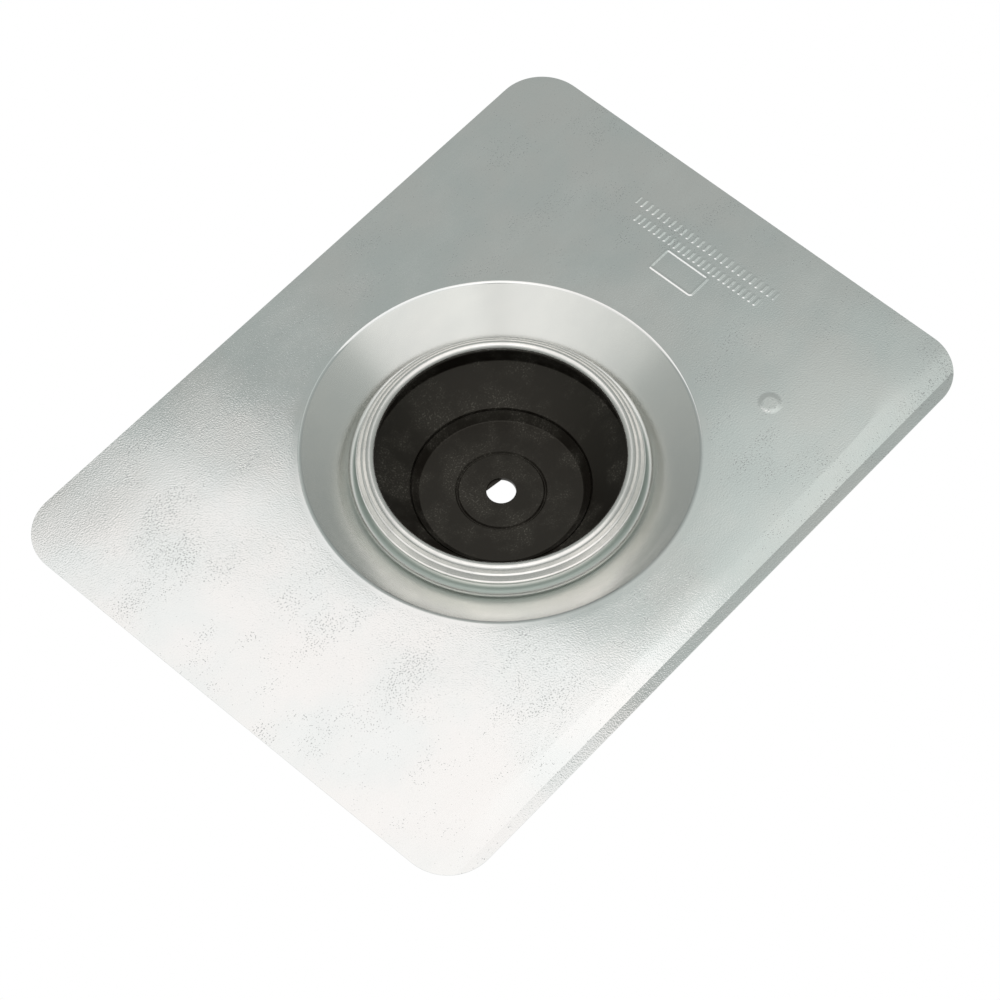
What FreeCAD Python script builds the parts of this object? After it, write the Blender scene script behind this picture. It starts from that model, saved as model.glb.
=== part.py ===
"""Pipe flashing boot: a drawn galvanised sheet with a rubber collar crimped into its cone.

The frame is the installed one. +Z runs up the pipe, the pipe's axis is the Z axis, and the
sheet's underside lies on Z = 0, on the roof. +X runs along the sheet's long side, and the
creased long edge faces +Y. Millimetres and degrees throughout.

Three pieces, each made the way the real one is made:
  base_sheet      one sheet, blanked, creased along one long edge and drawn into a cone whose
                  mouth is turned down into a short neck
  collar          one rubber moulding, a skirt, a cone, a step and a disc with a pilot hole
  retaining_ring  one rolled steel ring that wraps the collar's lip and crimps it to the neck
"""
import FreeCAD
import Part

import os
from math import acos, atan2, ceil, cos, degrees, radians, sin, tan

# ---- base sheet ------------------------------------------------------------------------
SHEET_LENGTH = 304.8        # along X, 12 in
SHEET_WIDTH = 228.6         # along Y, 9 in
SHEET_THICKNESS = 0.5
SHEET_CORNER_RADIUS = 20.0
SHEET_OFFSET_X = -1.5       # the cone is drawn a little off the blank's middle

CREASE_INSET = 4.6          # from the long edge at +Y to the crease
CREASE_RAMP = 9.0           # width of the slope that leads up to the crease
CREASE_RISE = 0.26          # height of the crease above the roof
CREASE_EDGE_RISE = 0.06     # height of the long edge itself

CONE_FOOT_RADIUS = 77.8     # where the cone leaves the flat sheet
CONE_ANGLE = 35.6           # slope of the cone
FOOT_BEND_RADIUS = 2.5      # of the underside, at the foot
APRON_WIDTH = 6.0           # flat band round the foot, formed in the same draw
NECK_RADIUS = 55.2          # outer face of the neck
NECK_BOTTOM = 7.5           # height of the neck's cut edge
VALLEY_RADIUS = 3.0         # of the underside, where the cone turns down into the neck

# ---- retaining ring ----------------------------------------------------------------------
RING_THICKNESS = 0.5
BEAD_CENTRE_RADIUS = 51.1   # circle along which the rolled bead runs
BEAD_CENTRE_HEIGHT = 5.6
BEAD_RADIUS = 2.2           # outside of the rolled bead
BEAD_CURL_START = 125.0     # where the hidden end of the curl lies, round the bead
BEAD_CURL_END = 345.0       # where the bead runs into the skirt of the ring
RIDGE_RADIUS = 0.8          # outside of each pressed ridge
FURROW_RADIUS = 0.5         # outside of each furrow between ridges
RIDGE_TURN = 60.0           # how far the steel turns in the furrow ahead of the ridge
RIDGE_SHELF = 0.5           # flat run from that furrow to the ridge
LIP_TURN = 50.0             # how far it turns in the furrow ahead of the raw lip
LIP_SHELF = 0.4             # flat run from that furrow to the raw lip
LIP_ANGLE = 65.0            # slope of the raw lip
LIP_LENGTH = 1.1            # the raw lip itself

# ---- collar ------------------------------------------------------------------------------
SEAT_CLEARANCE = 0.08       # rubber to metal, all round
LIP_END = 375.0             # where the lip's bead runs into the foot of the skirt
SKIRT_INNER_RADIUS = 51.7
SKIRT_HAUNCH_HEIGHT = 8.8   # where the lip's bead has run out into the skirt
SKIRT_TOP = 17.1            # inside corner between the skirt and the cone
RUBBER_THICKNESS = 2.4      # of the cone
STEP_FOOT_RADIUS = 35.3     # inside, where the cone meets the step
STEP_FOOT_HEIGHT = 28.6
DISC_RADIUS = 32.5          # inside, where the step meets the disc
DISC_HEIGHT = 32.2          # underside of the disc
DISC_THICKNESS = 1.9
HOLE_RADIUS = 5.9
TEAR_GROOVE_WIDTH = 0.8     # in the cone, at the foot of the step
TEAR_GROOVE_DEPTH = 1.1
DISC_GROOVE_RADIUS = 17.5
DISC_GROOVE_WIDTH = 1.2
DISC_GROOVE_DEPTH = 0.9
SHOULDER_RADIUS = 2.0       # outside, where the skirt turns into the cone
STEP_RADIUS = 1.2           # outside, at the head of the step
HAUNCH_RADIUS = 2.0         # inside, where the skirt turns into the lip
SKIRT_SETBACK = 0.25        # the skirt's foot lies this far below the neck's cut edge

# ---- how the solids are made -------------------------------------------------------------
BEND_TOLERANCE = 0.3        # a bend is a fan of flats, which leave its arc by at most this

UP = FreeCAD.Vector(0, 0, 1)
ORIGIN = FreeCAD.Vector(0, 0, 0)


def section_point(radius, height):
    """A point of a section drawn in the XZ half-plane that is turned about the Z axis."""
    return FreeCAD.Vector(radius, 0, height)


def heading(angle, length=1.0):
    """A step of the given length, at the given angle, within the section's plane."""
    return section_point(length * cos(radians(angle)), length * sin(radians(angle)))


def fan(radius, start, end):
    """The angles from start to end, both included, between the flats of a bend of that radius."""
    widest = 2 * degrees(acos(1 - min(BEND_TOLERANCE, radius) / radius))
    count = max(1, ceil(abs(end - start) / widest))
    return [start + (end - start) * step / count for step in range(count + 1)]


def filled(points):
    """The face inside a closed run of points."""
    return Part.Face(Part.makePolygon(points + points[:1]))


def formed_section(start, angle, moves, thickness):
    """The section of a strip that is bent as sheet metal is.

    The strip's reference face starts at start and runs in the direction angle. Each move is
    ("run", length) or ("turn", radius, degrees), with a positive turn to the left. The strip's
    other face lies at thickness to the left, or to the right where thickness is negative.
    """
    near, far = [start], [start + heading(angle + 90, thickness)]
    for kind, size, *turn in moves:
        if kind == "run":
            near.append(near[-1] + heading(angle, size))
            far.append(far[-1] + heading(angle, size))
            continue
        hand = 90 if turn[0] > 0 else -90
        centre = near[-1] + heading(angle + hand, size)
        for facing in fan(size, angle, angle + turn[0])[1:]:
            near.append(centre - heading(facing + hand, size))
            far.append(near[-1] + heading(facing + 90, thickness))
        angle += turn[0]
    return filled(near + far[::-1])


def turned(face):
    """The solid that a section makes when it is turned about the Z axis."""
    return face.revolve(ORIGIN, UP, 360)


def drawn_cone():
    """The apron, the cone, the valley and the neck, which are one draw of the sheet."""
    slope = radians(CONE_ANGLE)
    tangent = FOOT_BEND_RADIUS * tan(slope / 2)
    valley_centre = NECK_RADIUS + VALLEY_RADIUS
    valley_height = (sin(slope) * (CONE_FOOT_RADIUS - valley_centre) - VALLEY_RADIUS) / cos(slope)
    valley_start = valley_centre + VALLEY_RADIUS * sin(slope)
    slant = (CONE_FOOT_RADIUS - valley_start) / cos(slope) - tangent
    moves = [
        ("run", APRON_WIDTH - tangent),
        ("turn", FOOT_BEND_RADIUS, -CONE_ANGLE),
        ("run", slant),
        ("turn", VALLEY_RADIUS, 90 + CONE_ANGLE),
        ("run", valley_height - NECK_BOTTOM),
    ]
    start = section_point(CONE_FOOT_RADIUS + APRON_WIDTH, 0)
    return turned(formed_section(start, 180, moves, -SHEET_THICKNESS))


def creased_blank():
    """The flat sheet with its creased long edge and rounded corners, open inside the apron."""
    half = SHEET_WIDTH / 2
    underside = [
        (-half, 0),
        (half - CREASE_INSET - CREASE_RAMP, 0),
        (half - CREASE_INSET, CREASE_RISE),
        (half, CREASE_EDGE_RISE),
    ]
    topside = [(y, z + SHEET_THICKNESS) for y, z in reversed(underside)]
    left = SHEET_OFFSET_X - SHEET_LENGTH / 2
    end_face = filled([FreeCAD.Vector(left, y, z) for y, z in underside + topside])
    sheet = end_face.extrude(FreeCAD.Vector(SHEET_LENGTH, 0, 0))

    deep = CREASE_RISE + 2 * SHEET_THICKNESS
    outline = Part.makeBox(SHEET_LENGTH, SHEET_WIDTH, 2 * deep, FreeCAD.Vector(left, -half, -deep))
    uprights = [edge for edge in outline.Edges if abs(edge.tangentAt(0).z) > 0.99]
    outline = outline.makeFillet(SHEET_CORNER_RADIUS, uprights)
    opening = Part.makeCylinder(CONE_FOOT_RADIUS + APRON_WIDTH, 2 * deep, FreeCAD.Vector(0, 0, -deep))
    return sheet.common(outline).cut(opening)


def base_sheet():
    """The galvanised sheet: the blank and the draw in it, one piece of metal."""
    return creased_blank().fuse(drawn_cone()).removeSplitter()


def retaining_ring():
    """The rolled ring: a hidden curl, the bead, two pressed ridges and the raw lip."""
    centre = section_point(BEAD_CENTRE_RADIUS, BEAD_CENTRE_HEIGHT)
    start = centre + heading(BEAD_CURL_START, BEAD_RADIUS)
    moves = [
        ("turn", BEAD_RADIUS, BEAD_CURL_END - BEAD_CURL_START),
        ("turn", FURROW_RADIUS, -RIDGE_TURN),
        ("run", RIDGE_SHELF),
        ("turn", RIDGE_RADIUS, RIDGE_TURN),
        ("turn", FURROW_RADIUS, -LIP_TURN),
        ("run", LIP_SHELF),
        ("turn", RIDGE_RADIUS, LIP_ANGLE - (BEAD_CURL_END + 90 - 360 - LIP_TURN)),
        ("run", LIP_LENGTH),
    ]
    return turned(formed_section(start, BEAD_CURL_START + 90, moves, RING_THICKNESS))


def bearing(step):
    """The angle at which a step points within the section's plane."""
    return degrees(atan2(step.z, step.x))


def rounded(corners):
    """The points of a path through (point, rounding) corners, each rounded by its radius."""
    path = [corners[0][0]]
    for (before, _), (here, rounding), (after, _) in zip(corners, corners[1:], corners[2:]):
        if not rounding:
            path.append(here)
            continue
        back, ahead = (before - here).normalize(), (after - here).normalize()
        half = back.getAngle(ahead) / 2
        centre = here + (back + ahead).normalize() * (rounding / sin(half))
        first = bearing(here + back * (rounding / tan(half)) - centre)
        last = bearing(here + ahead * (rounding / tan(half)) - centre)
        last -= 360 * round((last - first) / 360)
        path += [centre + heading(facing, rounding) for facing in fan(rounding, first, last)]
    return path + [corners[-1][0]]


def collar_section():
    """The collar's section: round its lip, up the outside, over the disc and down the inside."""
    bead = section_point(BEAD_CENTRE_RADIUS, BEAD_CENTRE_HEIGHT)
    lip_radius = BEAD_RADIUS - RING_THICKNESS - SEAT_CLEARANCE
    held = fan(BEAD_RADIUS, BEAD_CURL_START, BEAD_CURL_END)
    lip = [bead + heading(facing, lip_radius) for facing in (*held, LIP_END)]

    skirt_outer = NECK_RADIUS - SHEET_THICKNESS - SEAT_CLEARANCE
    run, rise = SKIRT_INNER_RADIUS - STEP_FOOT_RADIUS, STEP_FOOT_HEIGHT - SKIRT_TOP
    slant = (run ** 2 + rise ** 2) ** 0.5
    out, up = rise / slant * RUBBER_THICKNESS, run / slant * RUBBER_THICKNESS
    shoulder = SKIRT_TOP + up - (skirt_outer - SKIRT_INNER_RADIUS - out) * rise / run
    disc_top = DISC_HEIGHT + DISC_THICKNESS

    outside = [
        (lip[-1], 0),
        (section_point(skirt_outer, NECK_BOTTOM - SKIRT_SETBACK), 0),
        (section_point(skirt_outer, shoulder), SHOULDER_RADIUS),
        (section_point(STEP_FOOT_RADIUS + out, STEP_FOOT_HEIGHT + up), 0),
        (section_point(DISC_RADIUS + out, disc_top), STEP_RADIUS),
        (section_point(HOLE_RADIUS, disc_top), 0),
    ]
    inside = [
        (section_point(HOLE_RADIUS, DISC_HEIGHT), 0),
        (section_point(DISC_RADIUS, DISC_HEIGHT), 0),
        (section_point(STEP_FOOT_RADIUS, STEP_FOOT_HEIGHT), 0),
        (section_point(SKIRT_INNER_RADIUS, SKIRT_TOP), 0),
        (section_point(SKIRT_INNER_RADIUS, SKIRT_HAUNCH_HEIGHT), HAUNCH_RADIUS),
        (lip[0], 0),
    ]
    return filled(lip[:-1] + rounded(outside + inside)[:-1])


def groove_cutter(inner_radius, outer_radius, bottom, top):
    """A ring of rectangular section, which cuts a groove that opens downwards."""
    corners = [(inner_radius, bottom), (outer_radius, bottom), (outer_radius, top), (inner_radius, top)]
    return turned(filled([section_point(radius, height) for radius, height in corners]))


def collar():
    """The rubber collar, with the tear groove at the step and the groove in the disc."""
    body = turned(collar_section())
    tear = groove_cutter(STEP_FOOT_RADIUS, STEP_FOOT_RADIUS + TEAR_GROOVE_WIDTH,
                         SKIRT_TOP, STEP_FOOT_HEIGHT + TEAR_GROOVE_DEPTH)
    half = DISC_GROOVE_WIDTH / 2
    disc = groove_cutter(DISC_GROOVE_RADIUS - half, DISC_GROOVE_RADIUS + half,
                         STEP_FOOT_HEIGHT, DISC_HEIGHT + DISC_GROOVE_DEPTH)
    return body.cut(tear).cut(disc)


def main():
    """Make each piece and write it to parts/ under its node's name."""
    os.makedirs("parts", exist_ok=True)
    for piece in (base_sheet, collar, retaining_ring):
        shape = piece()
        solids = shape.Solids
        shape = solids[0] if len(solids) == 1 else shape
        box = shape.BoundBox
        print(f"{piece.__name__}: {len(solids)} solid, {shape.Volume / 1000:.2f} cm3, valid {shape.isValid()}, "
              f"X {box.XMin:.2f}..{box.XMax:.2f} Y {box.YMin:.2f}..{box.YMax:.2f} Z {box.ZMin:.2f}..{box.ZMax:.2f}")
        shape.exportStep(f"parts/{piece.__name__}.step")


main()
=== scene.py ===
"""Looks of a pipe flashing boot: a drawn galvanised sheet, a rubber collar and a rolled ring.

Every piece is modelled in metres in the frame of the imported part: +Z runs up the pipe, the
sheet's underside lies on Z = 0 and the creased long edge faces +Y.
"""

import logging
from dataclasses import dataclass
from enum import Enum
from math import atan2, ceil, cos, degrees, hypot, pi, radians, sin, tan
from typing import Any, Callable, Sequence

import bpy
from mathutils import Matrix, Vector


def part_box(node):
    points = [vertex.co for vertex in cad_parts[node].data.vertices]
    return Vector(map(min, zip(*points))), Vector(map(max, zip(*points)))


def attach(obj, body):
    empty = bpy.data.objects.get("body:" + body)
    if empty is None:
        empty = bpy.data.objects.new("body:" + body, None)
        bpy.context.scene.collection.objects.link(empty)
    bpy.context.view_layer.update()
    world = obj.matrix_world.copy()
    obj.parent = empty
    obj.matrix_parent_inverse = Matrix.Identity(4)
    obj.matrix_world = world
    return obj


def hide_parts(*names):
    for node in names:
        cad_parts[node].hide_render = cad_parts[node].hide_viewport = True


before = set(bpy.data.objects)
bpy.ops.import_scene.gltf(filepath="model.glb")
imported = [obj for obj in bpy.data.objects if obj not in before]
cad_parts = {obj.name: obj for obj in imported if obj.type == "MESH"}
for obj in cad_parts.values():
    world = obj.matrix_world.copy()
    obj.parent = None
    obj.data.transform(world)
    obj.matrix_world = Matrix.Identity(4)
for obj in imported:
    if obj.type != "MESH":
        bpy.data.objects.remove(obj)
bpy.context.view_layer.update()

MM = 0.001
ROOT = "root"
ROUND_OFF = 1e-6
SOFT_EDGE = 0.5 * MM
Colour = tuple[float, float, float]
Span = tuple[float, float]
WHITE: Colour = (1.0, 1.0, 1.0)

log = logging.getLogger("flashing_boot")


class Slot(Enum):
    """The material slots of the part's record."""

    SHEET = "galvanised_sheet"
    RING = "ring_steel"
    RUBBER = "collar_rubber"


# ---- sections and turned shapes ----------------------------------------------------------


def heading(angle: float, length: float = 1.0) -> Vector:
    """Give a step within the half-plane of a section.

    Args:
        angle: Direction of the step in degrees, from +X towards +Z.
        length: Length of the step.

    Returns:
        The step as (radius, height).
    """
    return Vector((length * cos(radians(angle)), length * sin(radians(angle))))


def bearing(step: Vector) -> float:
    """Return the direction of a step in degrees, from +X towards +Z."""
    return degrees(atan2(step.y, step.x))


def bend_angles(start: float, end: float, widest: float = 7.5) -> list[float]:
    """List the angles, ends included, at which the points of a bend lie."""
    count = max(1, ceil(abs(end - start) / widest - ROUND_OFF))
    return [start + (end - start) * step / count for step in range(count + 1)]


@dataclass(frozen=True)
class Run:
    """A straight stretch of a formed strip."""

    length: float


@dataclass(frozen=True)
class Turn:
    """A bend of a formed strip. A positive angle turns to the left."""

    radius: float
    angle: float


@dataclass(frozen=True)
class FormedStrip:
    """The section of sheet metal that is bent from a start point, move by move."""

    start: Vector
    angle: float
    moves: tuple[Run | Turn, ...]

    def faces(self, thickness: float) -> tuple[list[Vector], list[Vector]]:
        """Trace both faces of the strip.

        Args:
            thickness: Of the sheet, to the left of the traced face.

        Returns:
            The points of the traced face and of the other face, in the same order.
        """
        angle = self.angle
        near = [self.start.copy()]
        far = [near[0] + heading(angle + 90, thickness)]
        for move in self.moves:
            if isinstance(move, Run):
                near.append(near[-1] + heading(angle, move.length))
                far.append(far[-1] + heading(angle, move.length))
                continue
            hand = 90 if move.angle > 0 else -90
            centre = near[-1] + heading(angle + hand, move.radius)
            for facing in bend_angles(angle, angle + move.angle)[1:]:
                near.append(centre - heading(facing + hand, move.radius))
                far.append(near[-1] + heading(facing + 90, thickness))
            angle += move.angle
        return near, far


def rounded(corners: Sequence[tuple[Vector, float]]) -> list[Vector]:
    """Round the corners of a path.

    Args:
        corners: Each corner with its rounding radius, 0 for a sharp one.

    Returns:
        The points of the path, with each rounding as a fan of short chords.
    """
    path = [corners[0][0]]
    for (before, _), (here, radius), (after, _) in zip(corners, corners[1:], corners[2:]):
        if not radius:
            path.append(here)
            continue
        back, ahead = (before - here).normalized(), (after - here).normalized()
        half = back.angle(ahead) / 2
        centre = here + (back + ahead).normalized() * (radius / sin(half))
        first = bearing(here + back * (radius / tan(half)) - centre)
        last = bearing(here + ahead * (radius / tan(half)) - centre)
        last -= 360 * round((last - first) / 360)
        path += [centre + heading(facing, radius) for facing in bend_angles(first, last)]
    return path + [corners[-1][0]]


class Bench:
    """The modelling steps that the pieces share."""

    SEGMENTS = 256
    MERGE = 1e-6
    ROUNDING_STEPS = 2
    SMOOTH_ANGLE = 35.0
    FACE_WEIGHT = 50

    @staticmethod
    def open_all() -> None:
        """Open the active piece with all of its vertices selected."""
        bpy.ops.object.mode_set(mode="EDIT")
        bpy.ops.mesh.select_mode(type="VERT")
        bpy.ops.mesh.select_all(action="SELECT")

    @classmethod
    def begin(cls, name: str, add: Callable[..., Any], **settings: Any) -> bpy.types.Object:
        """Add a primitive with its place in its mesh, and open it with everything selected.

        Args:
            name: Name of the new piece.
            add: The operator that adds the primitive.
            settings: The operator's settings.

        Returns:
            The new object.
        """
        if bpy.context.mode != "OBJECT":
            bpy.ops.object.mode_set(mode="OBJECT")
        bpy.ops.object.select_all(action="DESELECT")
        add(**settings)
        piece = bpy.context.object
        piece.name = piece.data.name = name
        bpy.ops.object.transform_apply(location=True, rotation=True, scale=True)
        cls.open_all()
        return piece

    @staticmethod
    def select(piece: bpy.types.Object, mode: str, wanted: Callable[[Any], bool]) -> None:
        """Select the vertices, edges or faces of the open piece that a test picks.

        Args:
            piece: The piece that is open in edit mode.
            mode: VERT, EDGE or FACE.
            wanted: The test, given each vertex, edge or face of the mesh.
        """
        bpy.ops.mesh.select_mode(type=mode)
        bpy.ops.mesh.select_all(action="DESELECT")
        bpy.ops.object.mode_set(mode="OBJECT")
        mesh = piece.data
        for item in {"VERT": mesh.vertices, "EDGE": mesh.edges, "FACE": mesh.polygons}[mode]:
            item.select = wanted(item)
        bpy.ops.object.mode_set(mode="EDIT")

    @classmethod
    def draw(cls, name: str, points: Sequence[Vector], closed: bool) -> bpy.types.Object:
        """Draw a section in the XZ plane by extruding one vertex from point to point.

        Args:
            name: Name of the new piece.
            points: The section's points as (radius, height).
            closed: Whether an edge joins the last point to the first.

        Returns:
            The object, open in edit mode.
        """
        start = points[0]
        piece = cls.begin(name, bpy.ops.mesh.primitive_plane_add, size=MM,
                          location=(start.x, 0, start.y))
        bpy.ops.mesh.merge(type="CENTER")
        for here, there in zip(points, points[1:]):
            step = there - here
            bpy.ops.mesh.extrude_region_move(TRANSFORM_OT_translate={"value": (step.x, 0, step.y)})
        if closed:
            last = len(points) - 1
            cls.select(piece, "VERT", lambda vertex: vertex.index in (0, last))
            bpy.ops.mesh.edge_face_add()
        return piece

    @classmethod
    def turn(cls, name: str, points: Sequence[Vector], closed: bool = True) -> bpy.types.Object:
        """Turn a section about the Z axis.

        Args:
            name: Name of the new piece.
            points: The section's points as (radius, height).
            closed: Whether the section is a closed run.

        Returns:
            The turned object, open in edit mode, with its faces pointing one way.
        """
        piece = cls.draw(name, points, closed)
        bpy.ops.mesh.select_all(action="SELECT")
        bpy.ops.mesh.spin(steps=cls.SEGMENTS, angle=2 * pi, center=(0, 0, 0), axis=(0, 0, 1),
                          use_auto_merge=True)
        bpy.ops.mesh.select_all(action="SELECT")
        bpy.ops.mesh.remove_doubles(threshold=cls.MERGE)
        bpy.ops.mesh.normals_make_consistent(inside=False)
        return piece

    @staticmethod
    def apply(piece: bpy.types.Object, kind: str, **settings: Any) -> None:
        """Add a modifier to the piece and apply it.

        Args:
            piece: The active object.
            kind: The modifier's type.
            settings: The modifier's own settings.
        """
        modifier = piece.modifiers.new(kind.lower(), kind)
        for key, value in settings.items():
            setattr(modifier, key, value)
        bpy.ops.object.modifier_apply(modifier=modifier.name)

    @classmethod
    def finish(cls, piece: bpy.types.Object, edge: float, sharpest: float = 50.0) -> None:
        """Round the cut edges of a closed piece a little, merge what meets and shade it smooth.

        Args:
            piece: The active object.
            edge: Width of the rounding.
            sharpest: Edges that turn by more than this many degrees are rounded.
        """
        cls.apply(piece, "BEVEL", width=edge, segments=cls.ROUNDING_STEPS,
                  limit_method="ANGLE", angle_limit=radians(sharpest), use_clamp_overlap=True)
        cls.open_all()
        bpy.ops.mesh.remove_doubles(threshold=2 * cls.MERGE)
        bpy.ops.object.mode_set(mode="OBJECT")
        bpy.ops.object.shade_smooth_by_angle(angle=radians(cls.SMOOTH_ANGLE))
        cls.apply(piece, "WEIGHTED_NORMAL", keep_sharp=True, weight=cls.FACE_WEIGHT)


# ---- the sheet ---------------------------------------------------------------------------


@dataclass
class DrawnSheet:
    """The galvanised sheet: the flat blank, its creased edge and the cone drawn in it."""

    node: str = "base_sheet"
    thickness: float = 0.5 * MM
    corner_radius: float = 20.0 * MM
    crease_inset: float = 4.6 * MM
    crease_ramp: float = 9.0 * MM
    crease_rise: float = 0.26 * MM
    crease_edge_rise: float = 0.10 * MM
    foot_radius: float = 77.8 * MM
    cone_angle: float = 35.6
    foot_bend: float = 1.7 * MM
    apron: float = 6.0 * MM
    neck_radius: float = 55.2 * MM
    neck_bottom: float = 7.5 * MM
    valley: float = 3.0 * MM
    lead: float = 0.6 * MM
    cut_edge: float = 0.06 * MM
    corner_steps: int = 24
    long_side_steps: int = 46
    blank_cuts: int = 2

    def build(self) -> bpy.types.Object:
        """Model the sheet.

        Returns:
            The finished object, which stands for its node.
        """
        piece = Bench.turn("drawn_sheet", self._draw_section(), closed=False)
        self._add_blank(piece)
        self._press_crease(piece)
        self._face_down(piece)
        bpy.ops.object.mode_set(mode="OBJECT")
        Bench.apply(piece, "SOLIDIFY", thickness=self.thickness, offset=-1.0,
                    use_even_offset=True, use_quality_normals=True)
        Bench.finish(piece, self.cut_edge)
        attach(piece, ROOT)
        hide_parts(self.node)
        return piece

    def _draw_section(self) -> list[Vector]:
        """Trace the underside of apron, cone, valley and neck.

        Returns:
            The points as (radius, height), from outside inwards.
        """
        slope = radians(self.cone_angle)
        tangent = self.foot_bend * tan(slope / 2)
        valley_centre = self.neck_radius + self.valley
        valley_start = valley_centre + self.valley * sin(slope)
        valley_height = (sin(slope) * (self.foot_radius - valley_centre) - self.valley) / cos(slope)
        slant = (self.foot_radius - valley_start) / cos(slope) - tangent
        strip = FormedStrip(
            start=Vector((self.foot_radius + self.apron, 0)),
            angle=180,
            moves=(
                Run(self.apron - tangent - self.lead),
                Run(self.lead),
                Turn(self.foot_bend, -self.cone_angle),
                Run(self.lead),
                Run(slant - 2 * self.lead),
                Run(self.lead),
                Turn(self.valley, 90 + self.cone_angle),
                Run(valley_height - self.neck_bottom),
            ),
        )
        return strip.faces(self.thickness)[0]

    def _add_blank(self, piece: bpy.types.Object) -> None:
        """Add the flat sheet round the draw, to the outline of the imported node.

        Args:
            piece: The sheet, open in edit mode.
        """
        low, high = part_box(self.node)
        middle, length, width = (low + high) / 2, high.x - low.x, high.y - low.y
        bpy.ops.mesh.select_all(action="DESELECT")
        bpy.ops.mesh.primitive_plane_add(size=1.0, location=(middle.x, middle.y, 0))
        bpy.ops.transform.resize(value=(length, width, 1), center_override=(middle.x, middle.y, 0))
        bpy.ops.mesh.bevel(offset=self.corner_radius, segments=self.corner_steps, affect="VERTICES")
        bpy.ops.mesh.delete(type="ONLY_FACE")
        short_side_steps = Bench.SEGMENTS // 2 - 2 * self.corner_steps - self.long_side_steps
        vertices = piece.data.vertices
        for axis, steps in ((0, self.long_side_steps), (1, short_side_steps)):
            longest = (length, width)[axis] - 2 * self.corner_radius
            Bench.select(piece, "EDGE", lambda edge: self._spans(vertices, edge, axis, longest))
            bpy.ops.mesh.subdivide(number_cuts=steps - 1)
        rim = self.foot_radius + self.apron - Bench.MERGE
        Bench.select(piece, "VERT", lambda vertex: vertex.co.xy.length > rim)
        bpy.ops.mesh.select_mode(type="EDGE")
        bpy.ops.mesh.bridge_edge_loops(number_cuts=self.blank_cuts, interpolation="LINEAR")
        bpy.ops.mesh.select_all(action="SELECT")
        bpy.ops.mesh.normals_make_consistent(inside=False)

    @staticmethod
    def _spans(vertices: Any, edge: Any, axis: int, length: float) -> bool:
        """Tell whether an edge runs that length along that axis, to a hundredth of a millimetre."""
        first, last = (vertices[index].co for index in edge.vertices)
        return abs(abs(first[axis] - last[axis]) - length) < 0.01 * MM

    def _press_crease(self, piece: bpy.types.Object) -> None:
        """Fold the strip along the long edge at +Y.

        Args:
            piece: The sheet, open in edit mode.
        """
        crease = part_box(self.node)[1].y - self.crease_inset
        foot = crease - self.crease_ramp
        for line in (foot, crease):
            bpy.ops.mesh.select_all(action="SELECT")
            bpy.ops.mesh.bisect(plane_co=(0, line, 0), plane_no=(0, 1, 0))
        bpy.ops.object.mode_set(mode="OBJECT")
        for vertex in piece.data.vertices:
            if vertex.co.y > crease:
                share = (vertex.co.y - crease) / self.crease_inset
                vertex.co.z = self.crease_rise + share * (self.crease_edge_rise - self.crease_rise)
            elif vertex.co.y > foot:
                vertex.co.z = self.crease_rise * (vertex.co.y - foot) / self.crease_ramp
        bpy.ops.object.mode_set(mode="EDIT")
        vertices = piece.data.vertices
        Bench.select(piece, "EDGE", lambda edge: all(
            abs(vertices[index].co.y - crease) < Bench.MERGE for index in edge.vertices))
        bpy.ops.mesh.mark_sharp()

    @staticmethod
    def _face_down(piece: bpy.types.Object) -> None:
        """Turn the faces so that those of the flat sheet point down, out of the underside.

        Args:
            piece: The sheet, open in edit mode.
        """
        bpy.ops.object.mode_set(mode="OBJECT")
        outermost = max(piece.data.polygons, key=lambda face: face.center.xy.length)
        bpy.ops.object.mode_set(mode="EDIT")
        if outermost.normal.z > 0:
            bpy.ops.mesh.select_all(action="SELECT")
            bpy.ops.mesh.flip_normals()


# ---- the ring ----------------------------------------------------------------------------


@dataclass
class CrimpRing:
    """The rolled ring: a hidden curl, the bead, a pressed ridge and the lip with its raw brim."""

    node: str = "retaining_ring"
    thickness: float = 0.5 * MM
    bead_circle: float = 51.1 * MM
    bead_height: float = 5.6 * MM
    bead_radius: float = 2.2 * MM
    curl_start: float = 125.0
    curl_end: float = 325.0
    flank: float = 1.2 * MM
    furrow: float = 0.4 * MM
    ridge: float = 0.8 * MM
    ridge_turn: float = 40.0
    ridge_shelf: float = 0.4 * MM
    lip_angle: float = 50.0
    lip_length: float = 1.9 * MM
    brim_turn: float = 45.0
    brim: float = 0.4 * MM
    cut_edge: float = 0.07 * MM

    def build(self) -> bpy.types.Object:
        """Model the ring.

        Returns:
            The finished object, which stands for its node.
        """
        bead = Vector((self.bead_circle, self.bead_height))
        flank_angle = self.curl_end + 90 - 360
        strip = FormedStrip(
            start=bead + heading(self.curl_start, self.bead_radius),
            angle=self.curl_start + 90,
            moves=(
                Turn(self.bead_radius, self.curl_end - self.curl_start),
                Run(self.flank),
                Turn(self.furrow, -self.ridge_turn),
                Run(self.ridge_shelf),
                Turn(self.ridge, self.ridge_turn + self.lip_angle - flank_angle),
                Run(self.lip_length),
                Turn(self.furrow, -self.brim_turn),
                Run(self.brim),
            ),
        )
        near, far = strip.faces(self.thickness)
        piece = Bench.turn("crimp_ring", near + far[::-1])
        bpy.ops.object.mode_set(mode="OBJECT")
        Bench.finish(piece, self.cut_edge)
        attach(piece, ROOT)
        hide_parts(self.node)
        return piece


# ---- the collar --------------------------------------------------------------------------


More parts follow.
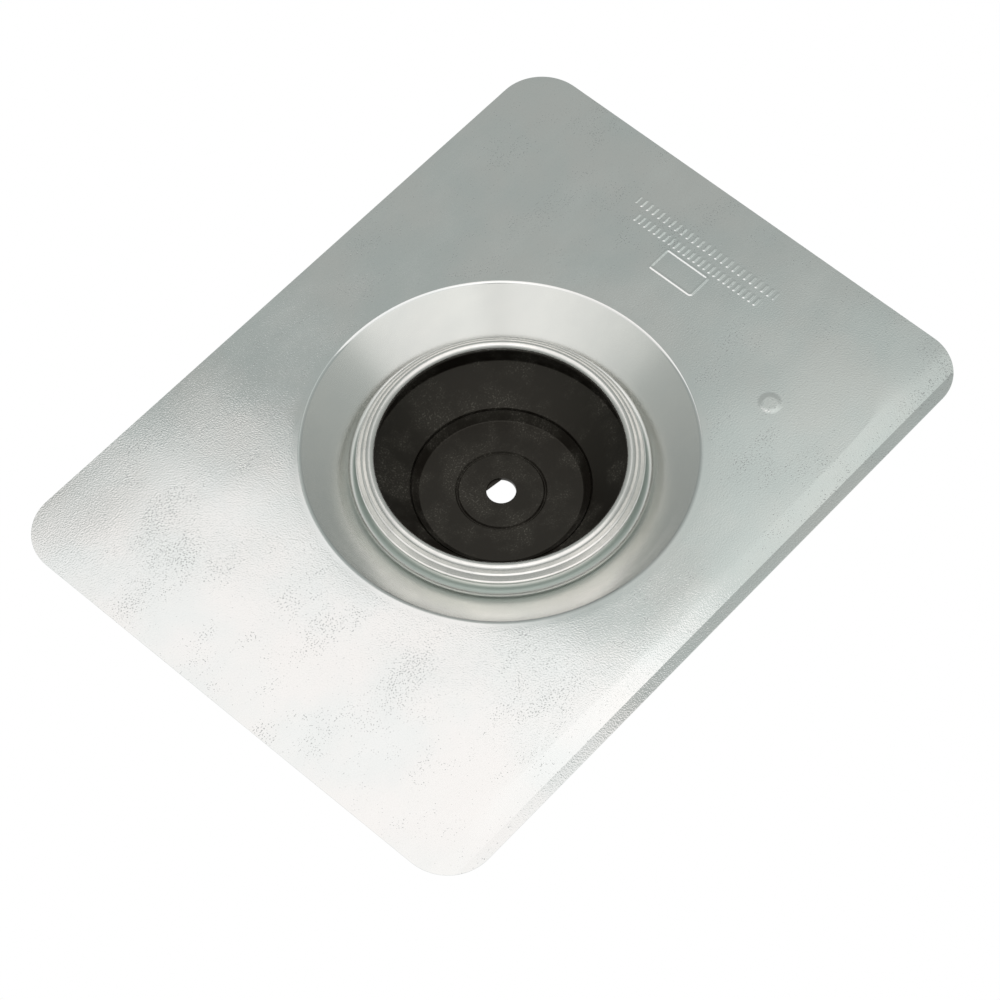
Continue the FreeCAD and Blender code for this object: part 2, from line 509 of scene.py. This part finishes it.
@dataclass
class RubberCollar:
    """The moulded collar: its lip, skirt, cone, step and disc, and the flash in its hole."""

    ring: CrimpRing
    sheet: DrawnSheet
    node: str = "collar"
    clearance: float = 0.08 * MM
    lip_start: float = 120.0
    lip_end: float = 375.0
    skirt_inner: float = 51.7 * MM
    haunch_height: float = 8.8 * MM
    haunch_radius: float = 2.0 * MM
    skirt_top: float = 17.1 * MM
    wall: float = 2.4 * MM
    step_foot_radius: float = 35.3 * MM
    step_foot_height: float = 28.6 * MM
    disc_radius: float = 32.5 * MM
    disc_height: float = 32.2 * MM
    disc_thickness: float = 1.9 * MM
    hole_radius: float = 5.9 * MM
    hole_steps: int = 96
    tear_width: float = 0.8 * MM
    tear_depth: float = 1.1 * MM
    groove_radius: float = 17.5 * MM
    groove_width: float = 1.5 * MM
    groove_depth: float = 0.9 * MM
    groove_draft: float = 0.4
    shoulder_rounding: float = 2.0 * MM
    step_rounding: float = 1.2 * MM
    disc_corner: float = 0.6 * MM
    skirt_corner: float = 0.8 * MM
    skirt_setback: float = 0.25 * MM
    edge: float = 0.12 * MM
    sharpest: float = 35.0
    flash_thickness: float = 0.5 * MM
    flash_reach: float = 1.63 * MM
    flash_bearing: float = -81.5

    def build(self) -> list[bpy.types.Object]:
        """Model the collar and the flash that is left in its hole.

        Returns:
            The finished objects. The first stands for the node.
        """
        collar = Bench.turn("boot_collar", self._section())
        bpy.ops.object.mode_set(mode="OBJECT")
        Bench.finish(collar, self.edge, self.sharpest)
        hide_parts(self.node)
        flash = self._hole_flash()
        for piece in (collar, flash):
            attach(piece, ROOT)
        return [collar, flash]

    def _section(self) -> list[Vector]:
        """Trace the section: round the lip, up the outside, over the disc, down the inside.

        Returns:
            The points as (radius, height), each once.
        """
        bead = Vector((self.ring.bead_circle, self.ring.bead_height))
        lip_radius = self.ring.bead_radius - self.ring.thickness - self.clearance
        lip = [bead + heading(facing, lip_radius)
               for facing in bend_angles(self.lip_start, self.lip_end)]

        skirt_outer = self.sheet.neck_radius - self.sheet.thickness - self.clearance
        run = self.skirt_inner - self.step_foot_radius
        rise = self.step_foot_height - self.skirt_top
        slant = hypot(run, rise)
        out, up = rise / slant * self.wall, run / slant * self.wall
        shoulder = self.skirt_top + up - (skirt_outer - self.skirt_inner - out) * rise / run
        disc_top = self.disc_height + self.disc_thickness
        skirt_foot = self.sheet.neck_bottom - self.skirt_setback
        outside = [
            (lip[-1], 0),
            (Vector((skirt_outer, skirt_foot)), 0),
            (Vector((skirt_outer, shoulder)), self.shoulder_rounding),
            (Vector((self.step_foot_radius + out, self.step_foot_height + up)), 0),
            (Vector((self.disc_radius + out, disc_top)), self.step_rounding),
            (Vector((self.hole_radius, disc_top)), 0),
        ]
        inside = [
            (Vector((self.hole_radius, self.disc_height)), 0),
            *self._groove(self.groove_radius - self.groove_width / 2, self.groove_width,
                          self.groove_depth, self.disc_height, self.disc_height),
            (Vector((self.disc_radius, self.disc_height)), self.disc_corner),
            *self._groove(self.step_foot_radius, self.tear_width, self.tear_depth,
                          self.step_foot_height,
                          self.step_foot_height - self.tear_width * rise / run),
            (Vector((self.skirt_inner, self.skirt_top)), self.skirt_corner),
            (Vector((self.skirt_inner, self.haunch_height)), self.haunch_radius),
            (lip[0], 0),
        ]
        return lip[:-1] + rounded(outside + inside)[:-1]

    def _groove(self, radius: float, width: float, depth: float, inner_height: float,
                outer_height: float) -> list[tuple[Vector, float]]:
        """Return the corners of a groove that opens downwards, with sloping walls.

        Args:
            radius: Of the foot of the groove's inner wall.
            width: Of its mouth.
            depth: Of the floor above the inner wall's foot.
            inner_height: Height of the inner wall's foot.
            outer_height: Height of the outer wall's foot.

        Returns:
            The four corners, from the inside outwards, with no rounding.
        """
        floor = inner_height + depth
        return [(Vector((radius, inner_height)), 0),
                (Vector((radius + width * self.groove_draft, floor)), 0),
                (Vector((radius + width * (1 - self.groove_draft), floor)), 0),
                (Vector((radius + width, outer_height)), 0)]

    def _hole_flash(self) -> bpy.types.Object:
        """Model the thin skin of rubber that bridges one side of the hole.

        Returns:
            The finished object.
        """
        height = self.disc_height + self.disc_thickness / 2
        flash = Bench.begin("hole_flash", bpy.ops.mesh.primitive_circle_add,
                            vertices=self.hole_steps, radius=self.hole_radius + self.edge,
                            fill_type="NGON", location=(0, 0, height))
        angle = radians(self.flash_bearing)
        inward = -Vector((cos(angle), sin(angle), 0))
        brink = -inward * (self.hole_radius - self.flash_reach)
        bpy.ops.mesh.bisect(plane_co=brink + Vector((0, 0, height)), plane_no=inward,
                            use_fill=False, clear_outer=True)
        bpy.ops.mesh.select_all(action="SELECT")
        bpy.ops.mesh.extrude_region_move(
            TRANSFORM_OT_translate={"value": (0, 0, self.flash_thickness)})
        bpy.ops.mesh.select_all(action="SELECT")
        bpy.ops.mesh.normals_make_consistent(inside=False)
        bpy.ops.object.mode_set(mode="OBJECT")
        Bench.finish(flash, self.edge)
        return flash


# ---- shader expressions ------------------------------------------------------------------


class Wire:
    """A shader socket that Python expressions on values can use."""

    def __init__(self, shader: "Shader", socket: bpy.types.NodeSocket) -> None:
        """Keep the socket and the shader that it belongs to."""
        self.shader = shader
        self.socket = socket

    def _maths(self, operation: str, *operands: Any) -> "Wire":
        """Return the result of a Math node on the operands."""
        return self.shader.node("ShaderNodeMath", {"operation": operation}, *operands)

    def __add__(self, other: Any) -> "Wire":
        """Return self + other."""
        return self._maths("ADD", self, other)

    def __radd__(self, other: Any) -> "Wire":
        """Return other + self."""
        return self._maths("ADD", other, self)

    def __sub__(self, other: Any) -> "Wire":
        """Return self - other."""
        return self._maths("SUBTRACT", self, other)

    def __rsub__(self, other: Any) -> "Wire":
        """Return other - self."""
        return self._maths("SUBTRACT", other, self)

    def __mul__(self, other: Any) -> "Wire":
        """Return self * other."""
        return self._maths("MULTIPLY", self, other)

    def __rmul__(self, other: Any) -> "Wire":
        """Return other * self."""
        return self._maths("MULTIPLY", other, self)

    def __truediv__(self, other: Any) -> "Wire":
        """Return self / other."""
        return self._maths("DIVIDE", self, other)

    def __rtruediv__(self, other: Any) -> "Wire":
        """Return other / self."""
        return self._maths("DIVIDE", other, self)

    def __pow__(self, other: Any) -> "Wire":
        """Return self to the power of other."""
        return self._maths("POWER", self, other)

    def __rpow__(self, other: Any) -> "Wire":
        """Return other to the power of self."""
        return self._maths("POWER", other, self)

    def __abs__(self) -> "Wire":
        """Return the size of self without its sign."""
        return self._maths("ABSOLUTE", self)

    def at_least(self, other: Any) -> "Wire":
        """Return the larger of self and other."""
        return self._maths("MAXIMUM", self, other)

    def at_most(self, other: Any) -> "Wire":
        """Return the smaller of self and other."""
        return self._maths("MINIMUM", self, other)

    def fraction(self) -> "Wire":
        """Return self less its whole part."""
        return self._maths("FRACT", self)

    def rise(self, low: float, high: float) -> "Wire":
        """Return 0 below low and 1 above high, with an even S curve between.

        Args:
            low: Where the rise starts.
            high: Where it ends. A high below low makes it a fall.

        Returns:
            The share, from 0 to 1.
        """
        if low > high:
            return 1 - self.rise(high, low)
        return self.shader.node("ShaderNodeMapRange", {"interpolation_type": "SMOOTHSTEP"},
                                self, low, high, 0.0, 1.0)


def distance(x: Wire, y: Wire) -> Wire:
    """Return the distance from the origin to (x, y)."""
    return (x ** 2.0 + y ** 2.0) ** 0.5


def within(offset: Wire, width: float) -> Wire:
    """Return 1 up to half a width off a middle line and 0 beyond it, with a soft edge.

    Args:
        offset: How far off the middle line a place lies, never below 0.
        width: From edge to edge, in metres.

    Returns:
        The share, from 0 to 1.
    """
    return offset.rise(width / 2 + SOFT_EDGE, width / 2 - SOFT_EDGE)


@dataclass(frozen=True)
class Noise:
    """Cloudy noise: the size of its largest clouds, its octaves of finer ones, their weight."""

    size: float
    detail: float
    roughness: float = 0.6


class Shader:
    """Builds the nodes of one material or of the world."""

    def __init__(self, owner: bpy.types.Material | bpy.types.World) -> None:
        """Empty the owner's node tree."""
        owner.use_nodes = True
        self.tree = owner.node_tree
        self.tree.nodes.clear()
        self.output = "ShaderNodeOutputMaterial"
        if isinstance(owner, bpy.types.World):
            self.output = "ShaderNodeOutputWorld"

    def node(self, kind: str, settings: dict[str, Any] | None = None, *values: Any,
             output: str = "", **named: Any) -> Wire:
        """Add one node.

        Args:
            kind: The node's type.
            settings: Its own settings, set before its inputs.
            values: Values or wires of its first inputs, in order. None leaves an input alone.
            output: Name of the output that the wire carries, or else it's the first in use.
            named: Values or wires of inputs by name, with _ for a space.

        Returns:
            The wire of the chosen output.
        """
        node = self.tree.nodes.new(kind)
        for key, value in (settings or {}).items():
            setattr(node, key, value)
        inputs = [item for item in node.inputs if item.enabled]
        pairs = [(item, value) for item, value in zip(inputs, values) if value is not None]
        pairs += [(node.inputs[name.replace("_", " ")], value) for name, value in named.items()]
        for item, value in pairs:
            if isinstance(value, Wire):
                self.tree.links.new(value.socket, item)
            elif isinstance(value, tuple) and item.type == "RGBA":
                item.default_value = (*value, 1.0)[:4]
            else:
                item.default_value = value
        first = next(item for item in node.outputs if item.enabled)
        return Wire(self, node.outputs[output] if output else first)

    def blend(self, first: Any, second: Any, share: Any) -> Wire:
        """Mix two colours.

        Args:
            first: Colour where the share is 0.
            second: Colour where the share is 1.
            share: From 0 to 1.

        Returns:
            The mixed colour.
        """
        return self.node("ShaderNodeMix", {"data_type": "RGBA"}, share, first, second)

    def place(self) -> Wire:
        """Return the Object coordinates, in metres."""
        return self.node("ShaderNodeTexCoord", output="Object")

    def axes(self, vector: Wire) -> tuple[Wire, Wire, Wire]:
        """Split a vector.

        Args:
            vector: The vector.

        Returns:
            Its X, Y and Z.
        """
        split = self.node("ShaderNodeSeparateXYZ", None, vector)
        sockets = split.socket.node.outputs
        return Wire(self, sockets[0]), Wire(self, sockets[1]), Wire(self, sockets[2])

    def noise(self, vector: Wire, kind: Noise) -> Wire:
        """Return cloudy noise round 0.5.

        Args:
            vector: Where it is read, in metres.
            kind: What the clouds are like.

        Returns:
            The noise, mostly from 0.3 to 0.7.
        """
        return self.node("ShaderNodeTexNoise", {"normalize": True}, vector,
                         Scale=1 / kind.size, Detail=kind.detail, Roughness=kind.roughness)

    def bump(self, height: Wire, depth: float = 1.0) -> Wire:
        """Return a normal that follows a height.

        Args:
            height: The height, in metres where depth is left out.
            depth: Metres that a height of 1 stands for.

        Returns:
            The new normal.
        """
        return self.node("ShaderNodeBump", None, Strength=1.0, Distance=depth, Height=height)

    def close(self, surface: Wire) -> None:
        """Join the surface to the output."""
        output = self.tree.nodes.new(self.output)
        self.tree.links.new(surface.socket, output.inputs["Surface"])


# ---- finishes ----------------------------------------------------------------------------


@dataclass(frozen=True)
class TickRow:
    """A row of short pressed ticks that runs along Y."""

    x: float
    y: float
    length: float
    height: float = 4.0 * MM
    pitch: float = 3.0 * MM
    width: float = 0.9 * MM

    def mask(self, x: Wire, y: Wire) -> Wire:
        """Return 1 on the ticks and 0 off them.

        Args:
            x: Place along the sheet.
            y: Place across the sheet.

        Returns:
            The mask, with soft edges.
        """
        across = within(abs(x - self.x), self.height)
        along = within(abs(y - self.y), self.length)
        # Whole pitches keep what the fraction is taken of above 0. The half centres a tick.
        pitches = (y - self.y) / self.pitch + 50.5
        offset = abs(pitches.fraction() - 0.5) * self.pitch
        return across * along * within(offset, self.width)


@dataclass(frozen=True)
class PressedFrame:
    """A rounded frame pressed into the sheet."""

    x: float
    y: float
    length: float
    width: float
    line: float = 0.9 * MM

    def mask(self, x: Wire, y: Wire) -> Wire:
        """Return 1 on the frame's line and 0 off it.

        Args:
            x: Place along the sheet.
            y: Place across the sheet.

        Returns:
            The mask, with soft edges.
        """
        beyond_x = abs(x - self.x) - (self.width / 2 - self.line)
        beyond_y = abs(y - self.y) - (self.length / 2 - self.line)
        outside = distance(beyond_x.at_least(0.0), beyond_y.at_least(0.0))
        inside = beyond_x.at_least(beyond_y).at_most(0.0)
        return within(abs(outside + inside - self.line), self.line)


@dataclass(frozen=True)
class Dimple:
    """A shallow round dent in the sheet."""

    x: float
    y: float
    rim: float
    floor: float

    def mask(self, x: Wire, y: Wire) -> Wire:
        """Return 1 on the dent's floor and 0 outside its rim."""
        return distance(x - self.x, y - self.y).rise(self.rim, self.floor)


@dataclass(frozen=True)
class GalvanisedSteel:
    """Hot-dipped zinc on cold-rolled sheet, with clouds, a fine grain and small pits.

    A span is where a share starts to rise from 0 and where it reaches 1. The spans of the flat
    and the cone are radii from the cone's foot outwards. The valley is the crease beside the
    neck, which painted shade darkens on the underside only.
    """

    cool: Colour = (0.688, 0.714, 0.708)
    warm: Colour = (0.736, 0.734, 0.722)
    bloom: Colour = (0.78, 0.79, 0.78)
    drawn: Colour = (0.870, 0.868, 0.838)
    # Painted shade: the darker tone of the valley's underside.
    painted_valley_shade: Colour = (0.36, 0.41, 0.38)
    pit_colour: Colour = (0.44, 0.45, 0.45)
    roughness: float = 0.075
    drawn_roughness: float = 0.25
    patch_roughness: float = 0.10
    pit_roughness: float = 0.12
    valley_roughness: float = 0.15
    rolling: tuple[float, float, float] = (0.55, 1.0, 1.0)
    clouds: Noise = Noise(50 * MM, 3.0, 0.55)
    cloud_span: Span = (0.36, 0.64)
    patches: Noise = Noise(16 * MM, 4.0)
    patch_floor: float = 0.45
    patch_gain: float = 1.3
    grain: Noise = Noise(0.65 * MM, 1.0)
    grain_floor: float = 0.5
    grain_gain: float = 0.8
    grain_depth: float = 0.013 * MM
    waves: Noise = Noise(70 * MM, 1.0, 0.4)
    wave_depth: float = 0.38 * MM
    flocks: Noise = Noise(24 * MM, 5.0, 0.7)
    flock_span: Span = (0.46, 0.64)
    flock_share: float = 0.18
    pits: Noise = Noise(0.60 * MM, 0.0, 0.5)
    pit_span: Span = (0.78, 0.87)
    pit_share: float = 0.8
    pit_depth: float = 0.003 * MM
    flat_span: Span = (1.0 * MM, 5.0 * MM)
    cone_span: Span = (-0.3 * MM, -0.9 * MM)
    cone_share: float = 1.15
    cone_patches: float = 0.9
    valley_radii: Span = (58.8 * MM, 57.2 * MM)
    valley_heights: Span = (10.5 * MM, 12.5 * MM)
    underside_span: Span = (0.3, -0.1)
    marks: tuple[TickRow | PressedFrame, ...] = (
        TickRow(125.0 * MM, -1.0 * MM, 72 * MM),
        TickRow(118.0 * MM, -0.5 * MM, 66 * MM, pitch=2.6 * MM),
        PressedFrame(108.5 * MM, -1.5 * MM, 21 * MM, 11 * MM),
    )
    mark_depth: float = 0.07 * MM
    dimple: Dimple = Dimple(84.7 * MM, 65.3 * MM, rim=5.2 * MM, floor=2.6 * MM)
    dimple_depth: float = 0.07 * MM

    def material(self, sheet: DrawnSheet) -> bpy.types.Material:
        """Make the material.

        Args:
            sheet: The sheet that it dresses, for the places of its drawn part.

        Returns:
            The new material.
        """
        material = bpy.data.materials.new("galvanised_steel")
        shader = Shader(material)
        place = shader.place()
        x, y, z = shader.axes(place)
        rolled = shader.node("ShaderNodeMapping", None, place, Scale=self.rolling)

        radius, foot = distance(x, y), sheet.foot_radius
        flat = radius.rise(*(foot + step for step in self.flat_span))
        cone = radius.rise(*(foot + step for step in self.cone_span))
        facing = shader.axes(shader.node("ShaderNodeTexCoord", output="Normal"))[2]
        # Painted shade: the valley beside the neck is darkened where its faces point down.
        valley = radius.rise(*self.valley_radii) * z.rise(*self.valley_heights)
        painted_valley_shade = valley * facing.rise(*self.underside_span)

        clouds = shader.noise(place, self.clouds).rise(*self.cloud_span)
        patches = shader.noise(rolled, self.patches)
        grain = shader.noise(place, self.grain)
        waves = shader.noise(place, self.waves)
        flocks = shader.noise(rolled, self.flocks).rise(*self.flock_span)
        pits = shader.noise(place, self.pits) + flocks * self.flock_share
        pits = pits.rise(*self.pit_span) * flat

        patch_bloom = (patches - self.patch_floor).at_least(0.0) * self.patch_gain
        grain_bloom = (grain - self.grain_floor).at_least(0.0) * self.grain_gain
        tone = shader.blend(self.cool, self.warm, clouds)
        tone = shader.blend(tone, self.bloom, patch_bloom)
        tone = shader.blend(tone, self.bloom, grain_bloom)
        drawn = cone * (self.cone_share - patches * self.cone_patches)
        tone = shader.blend(tone, self.drawn, drawn)
        tone = shader.blend(tone, self.pit_colour, pits * self.pit_share)
        # The painted shade of the valley goes on last.
        tone = shader.blend(tone, self.painted_valley_shade, painted_valley_shade)

        first, *others = (mark.mask(x, y) for mark in self.marks)
        height = (grain * flat * self.grain_depth + waves * self.wave_depth
                  - pits * self.pit_depth + sum(others, first) * self.mark_depth
                  + self.dimple.mask(x, y) * self.dimple_depth)
        roughness = ((patches - 0.5) * self.patch_roughness + self.roughness
                     + cone * (self.drawn_roughness - self.roughness)
                     + pits * self.pit_roughness + painted_valley_shade * self.valley_roughness)
        surface = shader.node("ShaderNodeBsdfPrincipled", None, Base_Color=tone, Metallic=1.0,
                              Roughness=roughness, Normal=shader.bump(height))
        shader.close(surface)
        return material


@dataclass(frozen=True)
class RolledSteel:
    """Bright rolled steel, with fine lines round the ring and darker smears."""

    colour: Colour = (0.79, 0.78, 0.755)
    shade: Colour = (0.68, 0.675, 0.66)
    roughness: float = 0.24
    lines: Noise = Noise(0.35 * MM, 2.0, 0.5)
    line_depth: float = 0.004 * MM
    smears: Noise = Noise(12 * MM, 3.0)
    smear_span: Span = (0.40, 0.70)
    smear_share: float = 0.7
    smear_roughness: float = 0.2

    def material(self) -> bpy.types.Material:
        """Make the material.

        Returns:
            The new material.
        """
        material = bpy.data.materials.new("rolled_steel")
        shader = Shader(material)
        place = shader.place()
        x, y, z = shader.axes(place)
        section = shader.node("ShaderNodeCombineXYZ", None, distance(x, y), z, 0.0)
        lines = shader.noise(section, self.lines)
        smears = shader.noise(place, self.smears)
        shaded = smears.rise(*self.smear_span) * self.smear_share
        roughness = (smears - 0.5) * self.smear_roughness + self.roughness
        surface = shader.node("ShaderNodeBsdfPrincipled", None, Metallic=1.0,
                              Base_Color=shader.blend(self.colour, self.shade, shaded),
                              Roughness=roughness, Normal=shader.bump(lines, self.line_depth))
        shader.close(surface)
        return material


@dataclass(frozen=True)
class BlackRubber:
    """Moulded black rubber, dusted with talc and finely grained."""

    colour: Colour = (0.0115, 0.0095, 0.0075)
    dust: Colour = (0.090, 0.084, 0.072)
    tint: Colour = (1.0, 0.95, 0.84)
    gloss: float = 0.32
    roughness: float = 0.40
    grain: Noise = Noise(0.55 * MM, 2.0)
    grain_depth: float = 0.02 * MM
    bloom: Noise = Noise(16 * MM, 4.0)
    bloom_span: Span = (0.42, 0.68)
    bloom_share: float = 0.22
    bloom_roughness: float = 0.12
    specks: Noise = Noise(0.7 * MM, 1.0, 0.5)
    speck_span: Span = (0.54, 0.70)
    speck_share: float = 0.9

    def material(self) -> bpy.types.Material:
        """Make the material.

        Returns:
            The new material.
        """
        material = bpy.data.materials.new("black_rubber")
        shader = Shader(material)
        place = shader.place()
        grain = shader.noise(place, self.grain)
        bloom = shader.noise(place, self.bloom).rise(*self.bloom_span)
        specks = shader.noise(place, self.specks).rise(*self.speck_span)
        dusted = bloom * self.bloom_share + specks * bloom * self.speck_share
        roughness = (bloom - 0.5) * self.bloom_roughness + self.roughness
        surface = shader.node("ShaderNodeBsdfPrincipled", None,
                              Base_Color=shader.blend(self.colour, self.dust, dusted),
                              Specular_IOR_Level=self.gloss, Specular_Tint=self.tint,
                              Roughness=roughness, Normal=shader.bump(grain, self.grain_depth))
        shader.close(surface)
        return material


# ---- the studio --------------------------------------------------------------------------


@dataclass(frozen=True)
class SoftPanel:
    """A straight edge of a large soft panel, as seen in the flat sheet.

    A direction is given by its slopes along X and Y per unit of depth, so that a straight
    edge of a panel under the sheet is a straight line.
    """

    across_x: float
    across_y: float
    edge: float
    softness: float

    def share(self, u: Wire, v: Wire) -> Wire:
        """Return how much of the panel lies in a direction, from 0 to 1."""
        beyond = u * self.across_x + v * self.across_y - self.edge
        return beyond.rise(self.softness, 0.0)


@dataclass(frozen=True)
class SoftSpot:
    """A round spot of the studio under the sheet that is lighter or darker than the rest."""

    u: float
    v: float
    radius: float
    level: float

    def share(self, u: Wire, v: Wire) -> Wire:
        """Return how much of the spot lies in a direction, from 0 to 1."""
        return distance(u - self.u, v - self.v).rise(self.radius, 0.0)


@dataclass
class Studio:
    """A pale floor, a soft studio all round and the camera under the sheet.

    A span is where a share starts to rise from 0 and where it reaches 1. The spans of walls, sky
    and white are heights of a direction, those of the key and the spots are its depths below the
    horizon, and the key's far side is a slope along X.
    """

    aim: Vector = Vector((-18.02, 15.92, 0)) * MM
    distance: float = 1414.5 * MM
    bearing: float = 137.20
    elevation: float = -58.68
    roll: float = 178.865
    lens: float = 132.616
    sensor: float = 36.0
    sight: float = 100.0
    floor_size: float = 30.0
    floor_drop: float = 0.4 * MM
    floor_paint: Colour = (0.85, 0.85, 0.84)
    least_depth: float = 0.02
    horizon_level: float = 0.28
    nadir_level: float = 0.56
    wall_span: Span = (-0.05, 0.25)
    wall_level: float = 0.26
    sky_span: Span = (0.15, 0.95)
    sky_level: float = 0.52
    ambient: Colour = (0.945, 1.0, 0.965)
    white_span: Span = (0.0, 0.4)
    key_edges: tuple[SoftPanel, ...] = (
        SoftPanel(0.990, -0.142, 0.466, 0.010),
        SoftPanel(0.305, -0.952, 0.593, 0.014),
    )
    key_span: Span = (0.45, 0.90)
    key_level: float = 0.71
    key_far_side: Span = (0.30, -0.20)
    key_fade: float = 0.24
    key_colour: Colour = (1.025, 1.0, 0.992)
    spots: tuple[SoftSpot, ...] = (
        SoftSpot(0.50, -0.29, 0.15, 0.42),
        SoftSpot(-0.20, 0.17, 0.42, 0.60),
        SoftSpot(-0.446, 0.413, 0.17, -0.85),
    )
    spot_span: Span = (0.3, 0.5)

    def build(self) -> None:
        """Set up the camera, the floor and the world."""
        scene = bpy.context.scene
        scene.view_settings.view_transform = "Standard"
        self._add_camera(scene)
        self._add_floor()
        self._light_world(scene)

    def _add_camera(self, scene: bpy.types.Scene) -> None:
        """Add the camera, below the sheet and looking up into the collar.

        Args:
            scene: The scene that it is for.
        """
        azimuth, elevation = radians(self.bearing), radians(self.elevation)
        outwards = Vector((cos(elevation) * cos(azimuth), cos(elevation) * sin(azimuth),
                           sin(elevation)))
        turn = (-outwards).to_track_quat("-Z", "Y").to_matrix()
        turn = turn @ Matrix.Rotation(radians(self.roll), 3, "Z")
        camera = bpy.data.objects.new("camera", bpy.data.cameras.new("camera"))
        scene.collection.objects.link(camera)
        camera.matrix_world = Matrix.LocRotScale(self.aim + outwards * self.distance, turn, None)
        camera.data.lens = self.lens
        camera.data.sensor_width = self.sensor
        camera.data.clip_end = self.sight
        scene.camera = camera

    def _add_floor(self) -> None:
        """Add the floor, which only the camera sees, and only from above."""
        bpy.ops.object.select_all(action="DESELECT")
        bpy.ops.mesh.primitive_plane_add(size=self.floor_size, location=(0, 0, -self.floor_drop))
        floor = bpy.context.object
        floor.name = floor.data.name = "floor"
        for kind in ("diffuse", "glossy", "transmission", "shadow", "volume_scatter"):
            setattr(floor, f"visible_{kind}", False)
        material = bpy.data.materials.new("floor_paint")
        shader = Shader(material)
        behind = shader.node("ShaderNodeNewGeometry", output="Backfacing")
        paint = shader.node("ShaderNodeBsdfDiffuse", None, Color=self.floor_paint)
        clear = shader.node("ShaderNodeBsdfTransparent")
        shader.close(shader.node("ShaderNodeMixShader", None, behind, paint, clear))
        floor.data.materials.append(material)

    def _light_world(self, scene: bpy.types.Scene) -> None:
        """Make the world, which lights from all round and is plain white behind the part.

        Args:
            scene: The scene that it is for.
        """
        world = bpy.data.worlds.new("studio")
        scene.world = world
        shader = Shader(world)
        direction = shader.node("ShaderNodeTexCoord", output="Generated")
        x, y, z = shader.axes(direction)
        depth = (0.0 - z).at_least(self.least_depth)
        u, v = x / depth, y / depth
        level = depth * (self.nadir_level - self.horizon_level) + self.horizon_level
        level = level + z.rise(*self.wall_span) * self.wall_level
        level = level + z.rise(*self.sky_span) * self.sky_level
        key = depth.rise(*self.key_span)
        for panel in self.key_edges:
            key = key * panel.share(u, v)
        key = key * (1 - u.rise(*self.key_far_side) * self.key_fade)
        colour = shader.blend(self.ambient, WHITE, z.rise(*self.white_span))
        colour = shader.blend(colour, self.key_colour, key)
        level = level + key * self.key_level
        for spot in self.spots:
            level = level + spot.share(u, v) * depth.rise(*self.spot_span) * spot.level
        seen = shader.node("ShaderNodeLightPath", output="Is Camera Ray")
        level = shader.node("ShaderNodeMix", {"data_type": "FLOAT"}, seen, level, 1.0)
        colour = shader.blend(colour, WHITE, seen)
        shader.close(shader.node("ShaderNodeBackground", None, colour, level))


# ---- main --------------------------------------------------------------------------------


def dress(piece: bpy.types.Object, material: bpy.types.Material) -> None:
    """Give a piece its material and report it.

    Args:
        piece: The finished piece.
        material: The material that all of it takes.
    """
    piece.data.materials.clear()
    piece.data.materials.append(material)
    log.info("%s: %d faces, %s", piece.name, len(piece.data.polygons), material.name)


def main() -> None:
    """Build the pieces, dress them and set up the studio."""
    logging.basicConfig(level=logging.INFO, format="%(name)s: %(message)s")
    sheet, ring = DrawnSheet(), CrimpRing()
    collar = RubberCollar(ring, sheet)
    dress(sheet.build(), GalvanisedSteel().material(sheet))
    dress(ring.build(), RolledSteel().material())
    rubber = BlackRubber().material()
    for piece in collar.build():
        dress(piece, rubber)
    Studio().build()


if __name__ == "__main__":
    main()
